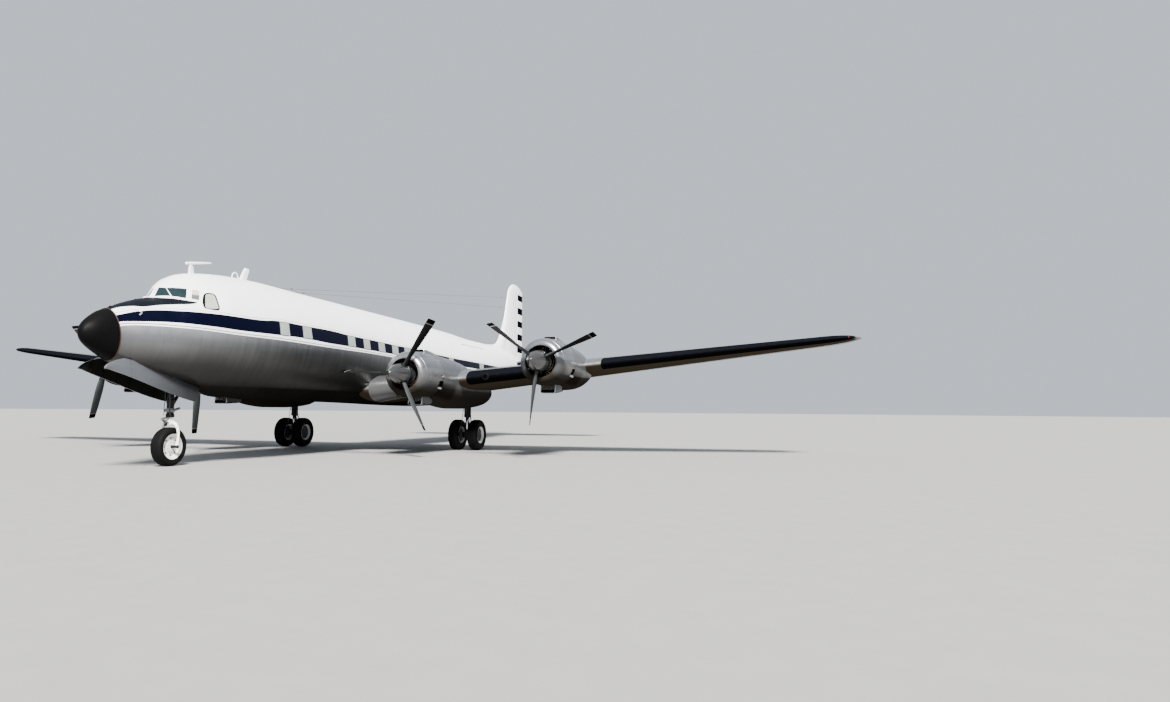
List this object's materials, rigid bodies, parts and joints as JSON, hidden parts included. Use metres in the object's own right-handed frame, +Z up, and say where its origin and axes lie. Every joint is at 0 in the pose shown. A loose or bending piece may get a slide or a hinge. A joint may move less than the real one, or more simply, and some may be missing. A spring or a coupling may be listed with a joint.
{
  "type": "four-engined piston military transport plane",
  "caption": "Low-wing transport aeroplane on a nose-wheel undercarriage, with piston engines, a black radome, a white-topped metal hull and a side cargo door.",
  "frame": {"origin": "on the ground under the middle of the parked aeroplane's box", "axes": "+Z up, +Y aft, so that the nose points along -Y, and +X to the port side"},
  "size_m": [35.81, 32.18, 8.63],
  "materials": {
    "radome_black": "matte",
    "hull_skin": "satin",
    "white_skin": "gloss",
    "bare_metal": "satin",
    "polished_metal": "polished",
    "glazing": "gloss",
    "engine_iron": "matte",
    "blade_black": "satin",
    "gear_grey": "satin",
    "wheel_paint": "satin",
    "tyre": "matte"
  },
  "bodies": {
    "airframe": {"radome": "radome_black", "fuselage": "hull_skin", "cockpit_glazing": "glazing", "mast_aerial": "white_skin", "blade_aerial": "white_skin", "wing_port": "bare_metal", "wing_starboard": "bare_metal", "tailplane_port": "bare_metal", "tailplane_starboard": "bare_metal", "fin": "white_skin", "nacelle_outer_port": "bare_metal", "nacelle_inner_port": "bare_metal", "nacelle_inner_starboard": "bare_metal", "nacelle_outer_starboard": "bare_metal", "cowling_outer_port": "polished_metal", "cowling_inner_port": "polished_metal", "cowling_inner_starboard": "polished_metal", "cowling_outer_starboard": "polished_metal", "engine_outer_port": "engine_iron", "engine_inner_port": "engine_iron", "engine_inner_starboard": "engine_iron", "engine_outer_starboard": "engine_iron", "main_leg_port": "gear_grey", "main_leg_starboard": "gear_grey", "nose_leg": "gear_grey", "nose_door_port": "bare_metal", "nose_door_starboard": "bare_metal"},
    "airscrew_outer_port": {"propeller_outer_port": "blade_black"},
    "airscrew_inner_port": {"propeller_inner_port": "blade_black"},
    "airscrew_inner_starboard": {"propeller_inner_starboard": "blade_black"},
    "airscrew_outer_starboard": {"propeller_outer_starboard": "blade_black"},
    "main_wheels_port": {"main_axle_port": "wheel_paint", "main_tyre_outer_port": "tyre", "main_tyre_inner_port": "tyre"},
    "main_wheels_starboard": {"main_axle_starboard": "wheel_paint", "main_tyre_outer_starboard": "tyre", "main_tyre_inner_starboard": "tyre"},
    "nose_steering": {"nose_fork": "gear_grey"},
    "nose_wheel": {"nose_rim": "wheel_paint", "nose_tyre": "tyre"},
    "rudder": {"rudder": "white_skin"},
    "elevators": {"elevators": "bare_metal"},
    "aileron_port": {"aileron_port": "bare_metal"},
    "aileron_starboard": {"aileron_starboard": "bare_metal"},
    "flap_port": {"flap_port": "bare_metal"},
    "flap_starboard": {"flap_starboard": "bare_metal"},
    "cargo_door": {"cargo_door": "hull_skin"},
    "hold_door_front": {"hold_door_front": "bare_metal"},
    "hold_door_rear": {"hold_door_rear": "bare_metal"}
  },
  "joints": [
    {"name": "airscrew_outer_port_spin", "type": "hinge", "parent": "airframe", "child": "airscrew_outer_port", "pos_m": [8.12, -7.21, 3.04], "axis": [0, 1, 0], "continuous": true},
    {"name": "airscrew_inner_port_spin", "type": "hinge", "parent": "airframe", "child": "airscrew_inner_port", "pos_m": [3.73, -7.72, 2.64], "axis": [0, 1, 0], "continuous": true},
    {"name": "airscrew_inner_starboard_spin", "type": "hinge", "parent": "airframe", "child": "airscrew_inner_starboard", "pos_m": [-3.73, -7.72, 2.64], "axis": [0, 1, 0], "continuous": true},
    {"name": "airscrew_outer_starboard_spin", "type": "hinge", "parent": "airframe", "child": "airscrew_outer_starboard", "pos_m": [-8.12, -7.21, 3.04], "axis": [0, 1, 0], "continuous": true},
    {"name": "main_wheels_port_roll", "type": "hinge", "parent": "airframe", "child": "main_wheels_port", "pos_m": [3.73, -2.24, 0.57], "axis": [1, 0, 0], "continuous": true},
    {"name": "main_wheels_starboard_roll", "type": "hinge", "parent": "airframe", "child": "main_wheels_starboard", "pos_m": [-3.73, -2.24, 0.57], "axis": [1, 0, 0], "continuous": true},
    {"name": "nose_steer", "type": "hinge", "parent": "airframe", "child": "nose_steering", "pos_m": [0, -13.18, 1.3], "axis": [0, 0, 1], "range_deg": [-60, 60]},
    {"name": "nose_wheel_roll", "type": "hinge", "parent": "nose_steering", "child": "nose_wheel", "pos_m": [0, -13.18, 0.505], "axis": [1, 0, 0], "continuous": true},
    {"name": "rudder_turn", "type": "hinge", "parent": "airframe", "child": "rudder", "pos_m": [0, 13.36, 5], "axis": [0, 0, 1], "range_deg": [-25, 25]},
    {"name": "elevators_tilt", "type": "hinge", "parent": "airframe", "child": "elevators", "pos_m": [0, 13.86, 4.02], "axis": [1, 0, 0], "range_deg": [-15, 25]},
    {"name": "aileron_port_tilt", "type": "hinge", "parent": "airframe", "child": "aileron_port", "pos_m": [10.48, -1.34923, 3.16464], "axis": [0.9934, -0.0198, 0.1133], "range_deg": [-15, 15]},
    {"name": "aileron_starboard_tilt", "type": "hinge", "parent": "airframe", "child": "aileron_starboard", "pos_m": [-10.48, -1.34923, 3.16464], "axis": [0.9934, 0.0198, -0.1133], "range_deg": [-15, 15]},
    {"name": "flap_port_lower", "type": "hinge", "parent": "airframe", "child": "flap_port", "pos_m": [1.98, -1.09977, 2.18812], "axis": [-0.9933, 0.0231, -0.1136], "range_deg": [0, 50]},
    {"name": "flap_starboard_lower", "type": "hinge", "parent": "airframe", "child": "flap_starboard", "pos_m": [-1.98, -1.09977, 2.18812], "axis": [-0.9933, -0.0231, 0.1136], "range_deg": [0, 50]},
    {"name": "cargo_door_open", "type": "hinge", "parent": "airframe", "child": "cargo_door", "pos_m": [1.2018, 2.81, 4.42], "axis": [0.0526, -0.9986, 0], "range_deg": [0, 85]},
    {"name": "hold_door_front_open", "type": "hinge", "parent": "airframe", "child": "hold_door_front", "pos_m": [-1.4097, -10.09, 2.75], "axis": [-0.017, 0.9999, 0], "range_deg": [0, 70]},
    {"name": "hold_door_rear_open", "type": "hinge", "parent": "airframe", "child": "hold_door_rear", "pos_m": [-1.462, 1.31, 2.75], "axis": [0.0119, 0.9999, 0], "range_deg": [0, 70]}
  ],
  "couplings": [
    {"joint": "aileron_starboard_tilt", "follows": "aileron_port_tilt", "ratio": -1},
    {"joint": "flap_starboard_lower", "follows": "flap_port_lower", "ratio": 1}
  ]
}
